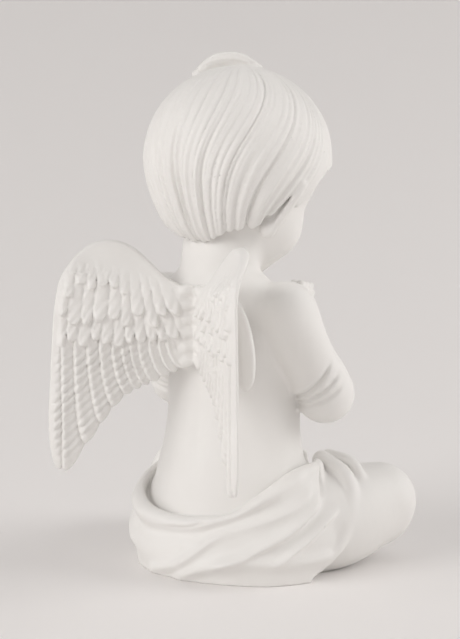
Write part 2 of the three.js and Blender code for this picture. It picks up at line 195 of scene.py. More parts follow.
WING_ROUND = {"corner": 3, "foot": 1, "root": 1, "faces": 0.8, "edge": 1.4}
# The field is steeper than a true distance near the slanted edges and the relief, and is scaled for that
WING_SCALE = {"top": 0.8, "foot": 0.75, "whole": 0.8}
WING_BOX = {"reach": 48, "inner": 14, "outer": 6, "behind": 12, "front": 12, "low": 28, "high": 110}
# Rows of short feathers on the wing's back: height of their tips, size, and where each row begins
ROWS = [
    {"tips": 74.8, "width": 3.6, "scallop": 2.2, "puff": 1.0,
     "wander": 2.2, "step": 0.5, "shift": 0.4, "seed": 31, "begins": (1, 5)},
    {"tips": 81.4, "width": 4.1, "scallop": 2.4, "puff": 1.1,
     "wander": 4.2, "step": 0.6, "shift": 2.0, "seed": 37, "begins": (1, 5)},
    {"tips": 91, "width": 3.4, "scallop": 2.0, "puff": 0.9,
     "wander": 4.4, "step": 0.4, "shift": 1.0, "seed": 41, "begins": (16, 24)},
    {"tips": 95.4, "width": 2.7, "scallop": 1.6, "puff": 0.6,
     "wander": 3.0, "step": 0.2, "shift": 2.2, "seed": 43, "begins": (16, 24)},
]
QUILL = {
    "edges": (5.5, 8.5, 11, 14, 17.3, 19.8, 22.4, 25.3, 29.1, 32.9, 36.9, 40.8, 44.1, 47.4),
    "rise": 0.8, "shaft": 0.4, "crease": 0.55, "sweep": 4.0, "root": 77, "tip": 1.1, "past_tip": 1.1,
    "straight": (31, 41), "shaft_at": 0.8, "shaft_width": 0.2, "crease_width": 0.08,
}
BARB = {
    "pitch": 2.9, "slope": 0.85, "right": 0.2, "left": 0.75, "seed": 7, "least": 0.6, "gain": 0.4,
    "patch_up": 0.31, "patch_feather": 2.1, "patch_edge": (-0.6, 0.3),
    "root_fade": (0.02, 0.2), "inner_fade": (10, 18), "tip_fade": (0.86, 1),
}
# How the short feathers lean, swell and overlap
COVERT = {
    "slant": 0.1, "inner_slant": 0.5, "inner": (6, 26), "sway": 0.07, "sway_pitch": 2.3, "point": 3,
    "under": 0.3, "over": 0.5, "lift": 6, "plump": 0.75, "plump_gain": 0.5, "round": 0.7, "tilt": 0.3,
    "crease": 0.4, "crease_width": 0.1, "line": 0.2, "line_across": 3, "line_up": 0.45,
    "flat_step": 0.3, "lift_step": 0.7, "ends": (40, 43), "base": 0.4,
}
DOWN = {
    "count": 11, "top": 91, "foot": 69, "out": 1.6, "zigzag": 2.6, "half": (2.5, 1.5, 1.9), "lift": 6.0,
    "sink": 0.8,
}
SCAPULAR = {"centre": (15.6, -18, 74.6), "half": (7.2, 2.6, 14), "tilt": 18, "turn": 24}

# Hip cloth by bearing (0 behind, 90 the figure's right): widest radius, rim radius, rim height
CLOTH = [
    (-180, 38, 23, 36), (-145, 38, 26, 35), (-115, 40, 28.5, 33.5), (-88, 37, 31, 30.5), (-60, 33, 32, 25.5),
    (-38, 31, 30.5, 22), (-15, 29, 28, 20.5), (10, 28.5, 27, 20.8), (35, 30, 28, 23), (55, 33, 29, 29.5),
    (78, 36, 28.5, 34.5), (105, 40, 30, 36), (125, 38, 27, 36), (150, 38, 25, 36), (180, 38, 23, 36),
]
CLOTH_FORM = {
    "centre": 1, "tuck": 1.6, "widest": 0.35, "wall": 3.2, "pocket": 3.6, "scale": 0.85, "rim_round": 2.4,
    "hem_slope": 0.6, "hem_round": 1.5, "pocket_round": 1.5,
}
# The hem: where it lifts off the floor, by bearing either side
HEM = [
    (0, -8), (76, -6), (81, 0.6), (89, 6.7), (97, 14), (104, 24), (112, 38), (135, 38), (160, 20), (180, 20),
]
# Folds along lines of bearing and height: ridges rise, furrows fall
FOLDS = [
    {"line": [(-70, 22), (-45, 19.7), (-22, 18.1), (1, 18.4), (18, 19.9), (35, 23.2), (50, 26.6),
              (65, 29.9), (85, 33.5)],
     "rise": 1.3, "width": 2.6},
    {"line": [(-60, 15), (-37, 13.7), (-9, 14.6), (13, 16), (38, 19.9), (62, 26)],
     "rise": -1.5, "width": 2.2},
    {"line": [(-14, 16.6), (2, 17.4), (20, 20.2)], "rise": -0.6, "width": 0.6},
    {"line": [(-32, 1), (-18, 2.8), (-1, 6), (12, 10.8), (22, 15), (40, 19), (61, 22.5), (72, 24.5),
              (88, 29)],
     "rise": 1.6, "width": 1.9},
    {"line": [(22, 6.5), (40, 10), (53, 13.8), (67, 18), (78, 21.9), (94, 28)], "rise": 2.3, "width": 1.6},
    {"line": [(56, 7.5), (61, 9.4), (72, 13.6), (84, 18.5), (97, 23.2), (106, 30)],
     "rise": 2.3, "width": 1.6},
    {"line": [(-8, 0), (1, 2), (20, 6), (38, 7.6), (61, 7.6), (78, 7.6), (92, 8)], "rise": 1.6, "width": 2.2},
    {"line": [(101, 36), (99, 33), (95, 29.2), (84, 24.3)], "rise": -1.6, "width": 1.0},
    {"line": [(-120, 22), (-95, 17), (-70, 12), (-48, 8)], "rise": 1.4, "width": 2.6},
    {"line": [(-130, 12), (-100, 8), (-75, 4)], "rise": 1.2, "width": 2.2},
]
FOLD_ENDS = {"out": 4, "in": 8}
LAP = {"half": 60, "fade": (0, 0.3)}
LAP_FOLDS = [
    {"height": 31, "sag": 5, "rise": 1.3, "width": 2},
    {"height": 24, "sag": 8, "rise": 1.3, "width": 2},
]
HEM_ROLL = [
    (30.5, -4.5, 1.5, 2.4), (37, 3.4, 10, 2.7), (38.8, 9.6, 21, 2.8),
    (35, 12.8, 30.5, 2.8), (25, 14.5, 34.6, 3),
]
HEM_ROLL_BEHIND = [
    (41, 14.5, 15, 1.6), (39.6, 16.8, 25, 1.9), (34.2, 18.6, 33.4, 2.1),
    (25, 19, 35, 2.4),
]


# Field helpers

def smoothstep(value, low, high):
    share = np.clip((value - low) / (high - low), 0, 1)
    return share * share * (3 - 2 * share)


def soft_min(a, b, blend):
    near = np.maximum(blend - np.abs(a - b), 0) / blend
    return np.minimum(a, b) - near * near * blend / 4


def soft_max(a, b, blend):
    return -soft_min(-a, -b, blend)


def through(stations):
    """A smooth curve through stations, whose first number is where they stand."""
    table = np.array(stations, float)
    x, y = table[:, 0], table[:, 1:]
    slope = np.gradient(y, x, axis=0)

    def value(place):
        place = np.clip(place, x[0], x[-1])
        i = np.clip(np.searchsorted(x, place) - 1, 0, len(x) - 2)
        width = (x[i + 1] - x[i])[:, None]
        t = (place - x[i])[:, None] / width
        kept = (1 + 2 * t) * (1 - t) ** 2 * y[i] + t * t * (3 - 2 * t) * y[i + 1]
        return kept + width * (t * (1 - t) ** 2 * slope[i] + t * t * (t - 1) * slope[i + 1])

    return value


def chance(number, seed):
    """A fixed value from 0 to 1 for each whole number."""
    return np.modf(np.abs(np.sin(number * 12.9898 + seed * 78.233) * 43758.5453))[0]


def mirrored(stations):
    return [(-s[0], *s[1:]) for s in stations]


def limb(stations, steps=STEPS["limb"]):
    """A round limb through its stations."""
    joined = through([(i, *s) for i, s in enumerate(stations)])
    line = joined(np.linspace(0, len(stations) - 1, steps + 1))

    def distance(p):
        best = np.full(len(p), np.inf)
        for (a, ra), (b, rb) in zip(((s[:3], s[3]) for s in line[:-1]), ((s[:3], s[3]) for s in line[1:])):
            way = b - a
            share = np.clip((p - a) @ way / (way @ way), 0, 1)
            gap = np.linalg.norm(p - a - share[:, None] * way, axis=1) - (ra + (rb - ra) * share)
            best = np.minimum(best, gap)
        return best

    radius = line[:, 3:].max()
    return distance, line[:, :3].min(axis=0) - radius, line[:, :3].max(axis=0) + radius


def ball_distance(p, half):
    """Distance from an egg about the origin, close enough near its skin."""
    inner = np.linalg.norm(p / half, axis=1)
    outer = np.maximum(np.linalg.norm(p / np.square(half), axis=1), TINY)
    return inner * (inner - 1) / outer


def turned(axis, degrees):
    """A turn about one of the figure's axes."""
    c, s = np.cos(np.radians(degrees)), np.sin(np.radians(degrees))
    i, j = [k for k in range(3) if k != axis]
    turn = np.eye(3)
    turn[i, i], turn[j, j], turn[i, j], turn[j, i] = c, c, -s, s
    return turn


def egg(centre, half, axes=np.eye(3)):
    centre, half = np.array(centre, float), np.array(half, float)
    reach = np.abs(axes) @ half
    return (lambda p: ball_distance((p - centre) @ axes, half)), centre - reach, centre + reach


def furrow(place, spacing, width, seed):
    """How deep, from 0 to 1, a place lies in one of many uneven furrows."""
    x = place / spacing
    whole = np.floor(x)
    deepest = np.zeros_like(x)
    for step in (-1, 0, 1):
        line = whole + step
        middle = line + 0.5 + 0.7 * (chance(line, seed) - 0.5)
        strength = 0.25 + 0.75 * chance(line, seed + 1)
        deepest = np.maximum(deepest, strength * np.exp(-np.square((x - middle) / width)))
    return deepest


# Trunk and limbs

trunk_at = through(TRUNK)


def trunk_distance(p):
    front, wide, deep = trunk_at(p[:, 2]).T
    across, along = p[:, 0], p[:, 1] - front
    inner = np.hypot(across / wide, along / deep)
    outer = np.maximum(np.hypot(across / wide ** 2, along / deep ** 2), TINY)
    skin = inner * (inner - 1) / outer
    height = smoothstep(p[:, 2], *SPINE["begins"]) * (1 - smoothstep(p[:, 2], *SPINE["ends"]))
    groove = SPINE["depth"] * np.exp(-np.square(across / SPINE["width"])) * height * (along < 0)
    dent = np.square(across) + np.square(p[:, 2] - NAVEL["height"])
    navel = NAVEL["depth"] * np.exp(-dent / NAVEL["radius"] ** 2) * (along > 0)
    return soft_max(skin + groove + navel, p[:, 2] - TRUNK[-1][0], NECK_ROUND)


def arm(side):
    """Upper arm, elbow and forearm, with the soft creases above the elbow."""
    stations = [UPPER_ARM, ARM_ROLL, FOREARM]
    pieces = [limb(s if side > 0 else mirrored(s)) for s in stations]
    view = np.radians(CREASE["view"])
    level = np.array([side * np.cos(view), np.sin(view), 0])
    pivot = np.array(CREASE["pivot"]) * (side, 1, 1)

    def distance(p):
        skin = pieces[0][0](p)
        for piece in pieces[1:]:
            skin = soft_min(skin, piece[0](p), ELBOW_JOIN)
        for angle, drop, depth in CREASE["folds"]:
            rise = np.radians(angle)
            out = (p - pivot) @ (level * np.cos(rise) + np.array([0, 0, np.sin(rise)]))
            off = (p - pivot) @ (np.array([0, 0, np.cos(rise)]) - level * np.sin(rise))
            off = off - drop - CREASE["curl"] * np.square(out - CREASE["bend"])
            fade = smoothstep(out, *CREASE["begins"]) * (1 - smoothstep(out, *CREASE["ends"]))
            fade = fade * (1 - smoothstep(p[:, 1], *CREASE["front_ends"]))
            skin = skin + depth * fade * np.exp(-np.square(off / CREASE["width"]))
        return skin

    return distance, np.min([q[1] for q in pieces], axis=0), np.max([q[2] for q in pieces], axis=0)


def hand(side):
    right, front, up = PALM["centre"]
    lean = np.radians(PALM["lean"])
    forms = [egg((side * right, front, up), PALM["half"], turned(0, -PALM["lean"]))]
    for i in range(FINGER["count"]):
        across = (i - (FINGER["count"] - 1) / 2) * FINGER["gap"]
        end = FINGER["start"] + FINGER["length"] - abs(across - FINGER["gap"] / 2) * FINGER["taper"]
        stations = [
            (
                side * (FINGER["tuck"] + spread),
                front + along * np.sin(lean) + across * np.cos(lean),
                up + along * np.cos(lean) - across * np.sin(lean),
                FINGER["radius"],
            )
            for along, spread in zip((FINGER["start"], (FINGER["start"] + end) / 2, end), FINGER["spread"])
        ]
        forms.append(limb(stations, STEPS["finger"]))
    forms.append(limb(THUMB if side > 0 else mirrored(THUMB), STEPS["finger"]))
    return forms


def foot(stations):
    """A foot with its toes along the front of it."""
    heel, tip = np.array(stations[0][:3]), np.array(stations[-1][:3])
    way = (tip - heel) / np.linalg.norm(tip - heel)
    across = np.cross(way, (0, 0, 1))
    forms = [limb(stations, STEPS["foot"])]
    for i in range(TOES["count"]):
        share = i / (TOES["count"] - 1) - 0.5
        reach = TOES["reach"] - TOES["arc"] * abs(share - TOES["longest"])
        middle = tip + way * reach + across * share * TOES["spread"]
        middle[2] = max(middle[2] - TOES["drop"], TOES["radius"])
        radius = TOES["radius"] * (TOES["big"] - TOES["taper"] * (share + 0.5))
        forms.append(egg(middle, [radius] * 3))
    return forms


# Head

head_axes = turned(2, -HEAD["turn"]) @ turned(0, -HEAD["nod"])
head_centre = np.array(HEAD["centre"], float)


def in_head(distance, low, high):
    """A form in the head's own frame, as a form of the figure."""
    corners = np.array([(x, y, z) for x in (low[0], high[0]) for y in (low[1], high[1])
                        for z in (low[2], high[2])])
    placed = corners @ head_axes.T + head_centre
    return (lambda p: distance((p - head_centre) @ head_axes)), placed.min(axis=0), placed.max(axis=0)


def face():
    eggs = [(egg(centre, half), blend) for centre, half, blend in FACE]

    def distance(q):
        skin = eggs[0][0][0](q)
        for form, blend in eggs[1:]:
            skin = soft_min(skin, form[0](q), blend)
        for right, up, long, sag, depth, width in SEAMS:
            across = (q[:, 0] - right) / long
            off = (q[:, 2] - up + sag * (1 - np.square(across))) / width
            seam = np.exp(-np.square(off)) * (1 - smoothstep(np.abs(across), *SEAM_ENDS))
            seam = seam * (q[:, 1] > SEAM_FRONT)
            skin = skin + depth * seam
        return skin

    low = np.min([f[1] for f, _ in eggs], axis=0)
    high = np.max([f[2] for f, _ in eggs], axis=0)
    return in_head(distance, low, high)


hair_rim_at = through(HAIR_RIM)
hair_drift_at = through(HAIR_DRIFT)


def hair_distance(q):
    half = np.array(HAIR["half"])
    n = (q - HAIR["centre"]) / half
    size = np.maximum(np.linalg.norm(n, axis=1), TINY)
    fall = np.degrees(np.arccos(np.clip(n[:, 2] / size, -1, 1)))
    bearing = np.degrees(np.arctan2(n[:, 0], -n[:, 1]))
    away = np.abs(bearing)
    peak = np.where(away < DRIFT_PEAK, away / DRIFT_PEAK, (180 - away) / (180 - DRIFT_PEAK))
    strand = bearing + np.sign(bearing) * hair_drift_at(fall)[:, 0] * np.sin(peak * np.pi / 2)
    strand = strand + WAVE["turn"] * np.sin(np.radians(WAVE["fall"] * fall + WAVE["bearing"] * bearing))
    skin = (size - 1) * half.mean()
    calm = CALM["left"] + CALM["gain"] * smoothstep(bearing, *CALM["between"])
    calm = calm * (1 - CALM["nape"] * smoothstep(fall, *CALM["nape_falls"]))
    for f in FURROWS:
        groove = furrow(strand, f["spacing"], f["width"], f["seed"])
        skin = skin + f["depth"] * calm * smoothstep(fall, *f["fade"]) * groove
    swell = smoothstep(fall, NAPE["low"], NAPE["high"]) * (1 - smoothstep(away, NAPE["narrow"], NAPE["wide"]))
    skin = skin - NAPE["swell"] * swell
    notch = furrow(strand, FURROWS[0]["spacing"], HAIR["notch_width"], FURROWS[0]["seed"])
    rim = hair_rim_at(away)[:, 0] - HAIR["notch"] * notch
    cut = np.radians(fall - rim) * half.mean() * size
    return soft_max(skin, cut, HAIR["edge"])


def tuft():
    """A lock swept over from the crown, grooved along its length."""
    lock, low, high = limb(TUFT)
    middle = through([(s[0], *s[1:3]) for s in sorted(TUFT)])

    def distance(q):
        front, up = middle(q[:, 0]).T
        around = np.degrees(np.arctan2(q[:, 2] - up, q[:, 1] - front))
        groove = furrow(around, TUFT_GROOVE["spacing"], TUFT_GROOVE["width"], TUFT_GROOVE["seed"])
        return lock(q) + TUFT_GROOVE["depth"] * groove

    return distance, low, high


def ear(side):
    """A leaf-shaped ear standing off the head, with a rolled rim, a lobe and a bed behind it."""
    flip = np.array((side, 1, 1))
    lobe, top = np.array(EAR["lobe"]) * flip, np.array(EAR["top"]) * flip
    centre = (lobe + top) / 2
    long = (top - lobe) / np.linalg.norm(top - lobe)
    flare = np.array(EAR["flare"]) * flip
    flare = flare - long * (flare @ long)
    flare /= np.linalg.norm(flare)
    thin = np.cross(flare, long)
    axes = np.array([thin, flare, long]).T
    _, wide, tall = EAR["half"]
    plate, low, high = egg(centre, EAR["half"], axes)
    angles = np.radians(np.linspace(HELIX["start"], HELIX["end"], HELIX["steps"]))
    rim = [
        (*(centre + flare * wide * np.cos(a) + long * tall * np.sin(a)), HELIX["radius"])
        for a in angles
    ]
    helix, rim_low, rim_high = limb(rim)

    drop, drop_low, drop_high = egg(np.array(EAR_LOBE["centre"]) * flip, EAR_LOBE["half"])

    bed, bed_low, bed_high = egg(centre + np.array(EAR_BED["shift"]), EAR_BED["half"], axes)

    def distance(q):
        shell = soft_min(plate(q), helix(q), EAR["helix_join"])
        shell = soft_min(shell, drop(q), EAR["lobe_join"])
        return soft_min(shell, bed(q), EAR["bed_join"])

    low = np.min([low, rim_low, drop_low, bed_low], axis=0)
    high = np.max([high, rim_high, drop_high, bed_high], axis=0)
    return distance, low, high


# Wings

wing_top_at, wing_edge_at, wing_foot_at, wing_depth_at = (
    through(s) for s in (WING_TOP, WING_EDGE, WING_FOOT, WING_DEPTH)
)


def quill_relief(out, up, foot, barb_depth):
    """Long feathers, each laid over the next one out, with slanting barbs."""
    length = np.clip((QUILL["root"] - up) / np.maximum(QUILL["root"] - foot, 1), 0, QUILL["past_tip"])
    sweep = QUILL["sweep"] * (1 - smoothstep(out, *QUILL["straight"]))
    across = np.interp(out + sweep * np.square(length), QUILL["edges"], np.arange(len(QUILL["edges"])))
    feather = np.floor(across)
    share = across - feather
    shaft = np.exp(-np.square((share - QUILL["shaft_at"]) / QUILL["shaft_width"]))
    vane = QUILL["rise"] * share + QUILL["shaft"] * shaft
    edge = np.minimum(share, 1 - share) / QUILL["crease_width"]
    crease = QUILL["crease"] * (1 - np.exp(-np.square(edge)))
    wave = (up + BARB["slope"] * out) / BARB["pitch"] + chance(feather, BARB["seed"])
    ripple = np.sin(up * BARB["patch_up"] + feather * BARB["patch_feather"])
    patch = BARB["least"] + BARB["gain"] * smoothstep(ripple, *BARB["patch_edge"])
    patch = patch * smoothstep(length, *BARB["root_fade"]) * smoothstep(out, *BARB["inner_fade"])
    patch = patch * (1 - smoothstep(length, *BARB["tip_fade"]))
    barb = barb_depth * patch * np.abs(np.sin(wave * np.pi))
    return vane + crease + barb, share


def row_relief(row, out, up):
    """One row of short feathers: its height above the row below, and where it lies."""
    slant = COVERT["slant"] - COVERT["inner_slant"] * (1 - smoothstep(out, *COVERT["inner"]))
    across = (out + row["shift"] + slant * (up - row["tips"])) / row["width"]
    across = across + COVERT["sway"] * np.sin(across * COVERT["sway_pitch"] + row["seed"])
    feather = np.floor(across)
    share = across - feather
    wander = row["wander"] * (chance(feather, row["seed"]) - 0.5)
    tips = row["tips"] + wander + row["scallop"] * np.abs(2 * share - 1) ** COVERT["point"]
    cover = smoothstep(up, tips - COVERT["under"], tips + COVERT["over"])
    lift = 1 - smoothstep(up, tips, tips + COVERT["lift"])
    plump = row["puff"] * (COVERT["plump"] + COVERT["plump_gain"] * chance(feather, row["seed"] + 2))
    vane = plump * np.sin(share * np.pi) ** COVERT["round"] + COVERT["tilt"] * share
    edge = np.minimum(share, 1 - share) / COVERT["crease_width"]
    crease = COVERT["crease"] * (1 - np.exp(-np.square(edge)))
    lines = COVERT["line"] * np.sin((across * COVERT["line_across"] + COVERT["line_up"] * up) * np.pi)
    step = row["step"] * (COVERT["flat_step"] + COVERT["lift_step"] * lift)
    return cover, step + (vane + crease + lines) * (0.5 + 0.5 * lift)


def wing(side):
    sweep = np.radians(WING["sweep"])
    root_right, root_front = WING["root"]

    def distance(p):
        right, back, up = side * p[:, 0] - root_right, root_front - p[:, 1], p[:, 2]
        out = right * np.cos(sweep) + back * np.sin(sweep)
        lift = back * np.cos(sweep) - right * np.sin(sweep)
        top, edge = wing_top_at(out)[:, 0], wing_edge_at(up)[:, 0]
        foot = wing_foot_at(out)[:, 0]
        depth = wing_depth_at(out)[:, 0]
        lean = WING_LEAN["by"] * smoothstep(up, WING_LEAN["low"], WING_LEAN["high"])
        outer = WING_LEAN["outer"] * smoothstep(out, *WING_LEAN["outer_from"])
        lean = WING_LEAN["plane"] - lean * (1 - outer)
        relief, share = quill_relief(out, up, foot, BARB["right" if side > 0 else "left"])
        for row in ROWS:
            cover, height = row_relief(row, out, up)
            cover = cover * smoothstep(out, *row["begins"]) * (1 - smoothstep(out, *COVERT["ends"]))
            relief = relief * (1 - cover) + (COVERT["base"] + height) * cover
        smooth_brow = smoothstep(up - BROW["slope"] * (out - BROW["middle"]), *BROW["smooth"])
        smooth_rim = smoothstep(out, edge - WING_RIM["begins"], edge - WING_RIM["ends"])
        relief = relief * (1 - smooth_brow) * (1 - WING_RIM["smooth"] * smooth_rim)
        swell = BROW["swell"] * smoothstep(up, BROW["low"], BROW["high"])
        swell = swell * (1 - smoothstep(out, *BROW["ends"]))
        face = lift - lean - depth - swell * BROW["front_share"] - relief
        back_face = lean - lift - depth - swell
        tip = QUILL["tip"] * np.sin(np.clip(share, 0, 1) * np.pi)
        outline = soft_max(out - edge, (up - top) * WING_SCALE["top"], WING_ROUND["corner"])
        outline = soft_max(outline, (foot - tip - up) * WING_SCALE["foot"], WING_ROUND["foot"])
        outline = soft_max(outline, WING["start"] - out, WING_ROUND["root"])
        plate = soft_max(face, back_face, WING_ROUND["faces"])
        return soft_max(plate, outline, WING_ROUND["edge"]) * WING_SCALE["whole"]

    reach = WING_BOX["reach"]
    outer = root_right + reach * np.cos(sweep) + WING_BOX["outer"]
    sides = sorted((side * (root_right - WING_BOX["inner"]), side * outer))
    back = root_front - reach * np.sin(sweep) - WING_BOX["behind"]
    low = np.array([sides[0], back, WING_BOX["low"]])
    high = np.array([sides[1], root_front + WING_BOX["front"], WING_BOX["high"]])
    return distance, low, high


def wing_root(side):
    """The downy tufts down the root, and the leaf-shaped feather beside it."""
    sweep = np.radians(WING["sweep"])
    root_right, root_front = WING["root"]
    forms = []
    for i, up in enumerate(np.linspace(DOWN["top"], DOWN["foot"], DOWN["count"])):
        out = DOWN["out"] + DOWN["zigzag"] * (i % 2)
        lift = DOWN["lift"] - DOWN["sink"] * (i % 2)
        right = root_right + out * np.cos(sweep) - lift * np.sin(sweep)
        front = root_front - out * np.sin(sweep) - lift * np.cos(sweep)
        forms.append(egg((side * right, front, up), DOWN["half"], turned(2, side * -WING["sweep"])))
    right, front, up = SCAPULAR["centre"]
    axes = turned(2, side * -SCAPULAR["turn"]) @ turned(1, side * SCAPULAR["tilt"])
    forms.append(egg((side * right, front, up), SCAPULAR["half"], axes))
    return forms


# Hip cloth

hem_at = through(HEM)
before = [(bearing - 360, *sizes) for bearing, *sizes in CLOTH[-4:-1]]
after = [(bearing + 360, *sizes) for bearing, *sizes in CLOTH[1:4]]
cloth_at = through(before + CLOTH + after)


def fold_relief(bearing, up):
    relief = np.zeros(len(up))
    for fold in FOLDS:
        line = sorted(fold["line"])
        first, last = line[0][0], line[-1][0]
        middle = through(line)(bearing)[:, 0]
        fade = smoothstep(bearing, first - FOLD_ENDS["out"], first + FOLD_ENDS["in"])
        fade = fade * (1 - smoothstep(bearing, last - FOLD_ENDS["in"], last + FOLD_ENDS["out"]))
        relief += fold["rise"] * fade * np.exp(-np.square((up - middle) / fold["width"]))
    front = 1 - np.abs(np.abs(bearing) - 180) / LAP["half"]
    for fold in LAP_FOLDS:
        middle = fold["height"] - fold["sag"] * np.clip(front, 0, 1)
        ridge = np.exp(-np.square((up - middle) / fold["width"]))
        relief += fold["rise"] * smoothstep(front, *LAP["fade"]) * ridge
    return relief


def cloth_distance(p):
    front = p[:, 1] - CLOTH_FORM["centre"]
    bearing = np.degrees(np.arctan2(p[:, 0], -front))
    reach = np.hypot(p[:, 0], front)
    widest, rim, height = cloth_at(bearing).T
    share = np.clip(p[:, 2] / height, 0, 1)
    radius = widest + (rim - widest) * smoothstep(share, CLOTH_FORM["widest"], 1)
    radius = radius - CLOTH_FORM["tuck"] * (1 - smoothstep(share, 0, CLOTH_FORM["widest"]))
    skin = (reach - radius - fold_relief(bearing, p[:, 2])) * CLOTH_FORM["scale"]
    skin = soft_max(skin, p[:, 2] - height, CLOTH_FORM["rim_round"])
    below = (hem_at(np.abs(bearing))[:, 0] - p[:, 2]) * CLOTH_FORM["hem_slope"]
    skin = soft_max(skin, below, CLOTH_FORM["hem_round"])
    pocket = np.maximum(reach - rim + CLOTH_FORM["wall"], height - CLOTH_FORM["pocket"] - p[:, 2])
    return soft_max(skin, -pocket, CLOTH_FORM["pocket_round"])


# The whole figure as a list of forms with the softness of their joins

JOIN = {
    "trunk": 0.1, "thigh": 4, "shin": 2, "foot": 0.8, "arm": 2.6, "hand": 0.7, "face": 3, "wing": 2,
    "down": 0.9, "cloth": 0.8, "hem": 0.8, "hair": 0.5, "tuft": 0.6, "ear": 0.6, "crease": 0.8,
}
TRUNK_BOX = ((-30, -27, -4), (30, 26, 113))
CLOTH_BOX = ((-60, -60, -4), (60, 60, 40))


def figure_forms():
    parts = [
        ("trunk", [(trunk_distance, *np.array(TRUNK_BOX))]),
        ("thigh", [limb(THIGH), limb(mirrored(THIGH))]),
        ("shin", [limb(RIGHT_SHIN), limb(LEFT_SHIN)]),
        ("foot", foot(RIGHT_FOOT) + foot(LEFT_FOOT)),
        ("arm", [arm(1), arm(-1)]),
        ("hand", hand(1) + hand(-1)),
        ("face", [face()]),
        ("wing", [wing(1), wing(-1)]),
        ("down", wing_root(1) + wing_root(-1)),
        ("cloth", [(cloth_distance, *np.array(CLOTH_BOX))]),
        ("hem", [limb(s, STEPS["hem"]) for s in (HEM_ROLL, HEM_ROLL_BEHIND, mirrored(HEM_ROLL))]),
    ]
    low = np.array(HAIR["centre"]) - HAIR["half"]
    high = np.array(HAIR["centre"]) + HAIR["half"]
    parts.append(("hair", [in_head(hair_distance, low, high)]))
    parts.append(("tuft", [in_head(*tuft())]))
    parts.append(("ear", [in_head(*ear(1)), in_head(*ear(-1))]))
    return [(form, JOIN[name]) for name, forms in parts for form in forms]


tuft_crease = in_head(*limb(TUFT_CREASE, STEPS["crease"]))


def figure_distance(p, forms):
    distance = np.full(len(p), FAR)
    for (form, low, high), blend in forms:
        near = np.nonzero(np.all((p > low - MARGIN) & (p < high + MARGIN), axis=1))[0]
        if len(near):
            distance[near] = soft_min(distance[near], form(p[near]), blend)
    form, low, high = tuft_crease
    near = np.nonzero(np.all((p > low - MARGIN) & (p < high + MARGIN), axis=1))[0]
    if len(near):
        distance[near] = soft_max(distance[near], -form(p[near]), JOIN["crease"])
    return np.maximum(distance, -p[:, 2])


# Meshing

def sample(forms, low, counts):
    """The field on a grid, worked out finely only in the blocks that the skin may pass through."""
    cells = np.indices([-(-n // BLOCK) for n in counts]).reshape(3, -1).T
    field = np.empty([-(-n // BLOCK) * BLOCK for n in counts], np.float32)
    for size, parent in ((BLOCK, None), (SUB_BLOCK, BLOCK)):
        if parent:
            steps = np.indices([parent // size] * 3).reshape(3, -1).T
            cells = (cells[:, None, :] * (parent // size) + steps).reshape(-1, 3)
        middle = low + (cells * size + (size - 1) / 2) * PITCH
        value = figure_distance(middle, forms)
        for cell, v in zip(cells * size, value):
            field[cell[0]:cell[0] + size, cell[1]:cell[1] + size, cell[2]:cell[2] + size] = v
        cells = cells[np.abs(value) < size * PITCH * NEAR["blocks"] + NEAR["spare"]]
    steps = np.indices([SUB_BLOCK] * 3).reshape(3, -1).T
    for part in np.array_split(cells, BATCHES):
        index = (part[:, None, :] * SUB_BLOCK + steps).reshape(-1, 3)
        field[tuple(index.T)] = figure_distance(low + index * PITCH, forms)
    return field


def net(field, low):
    """One point in each grid cell that the skin crosses, and a face across each crossed edge."""
    inside = field < 0
    corner = [(i, j, k) for i in (0, 1) for j in (0, 1) for k in (0, 1)]
    size = [n - 1 for n in field.shape]
    window = lambda c: tuple(slice(c[a], c[a] + size[a]) for a in range(3))
    full = sum(inside[window(c)].astype(np.uint8) for c in corner)
    crossed = (full > 0) & (full < 8)
    cells = np.argwhere(crossed)
    number = np.full(size, -1, np.int64)
    number[crossed] = np.arange(len(cells))
    values = {c: field[tuple((cells + c).T)] for c in corner}
    total, hits = np.zeros((len(cells), 3)), np.zeros(len(cells))
    for a in corner:
        for axis in range(3):
            if a[axis]:
                continue
            b = tuple(a[k] + (k == axis) for k in range(3))
            cut = (values[a] < 0) != (values[b] < 0)
            share = values[a][cut] / (values[a][cut] - values[b][cut])
            total[cut] += a
            total[cut, axis] += share
            hits[cut] += 1
    points = low + (cells + total / hits[:, None]) * PITCH
    faces = []
    for axis in range(3):
        one, two = (axis + 1) % 3, (axis + 2) % 3
        ends = [slice(None)] * 3
        ends[axis] = slice(None, -1)
        first = inside[tuple(ends)]
        ends[axis] = slice(1, None)
        edges = np.argwhere(first != inside[tuple(ends)])
        edges = edges[(edges[:, one] > 0) & (edges[:, two] > 0)]
        outward = first[tuple(edges.T)]
        ring = []
        for d_one, d_two in ((1, 1), (0, 1), (0, 0), (1, 0)):
            cell = edges.copy()
            cell[:, one] -= d_one
            cell[:, two] -= d_two
            ring.append(number[tuple(cell.T)])
        ring = np.array(ring).T
        ring[~outward] = ring[~outward, ::-1]
        faces.append(ring)
    return points, np.concatenate(faces)


def settle(points, forms, step=0.15):
    """Draws the points on to the skin along the field's slope."""
    value = figure_distance(points, forms)
    slope = np.stack([
        (figure_distance(points + d, forms) - figure_distance(points - d, forms)) / (2 * step)
        for d in np.eye(3) * step
    ], axis=1)
    move = value[:, None] * slope / np.maximum((slope ** 2).sum(axis=1), LEAST_SLOPE)[:, None]
    return points - np.clip(move, -PITCH, PITCH)


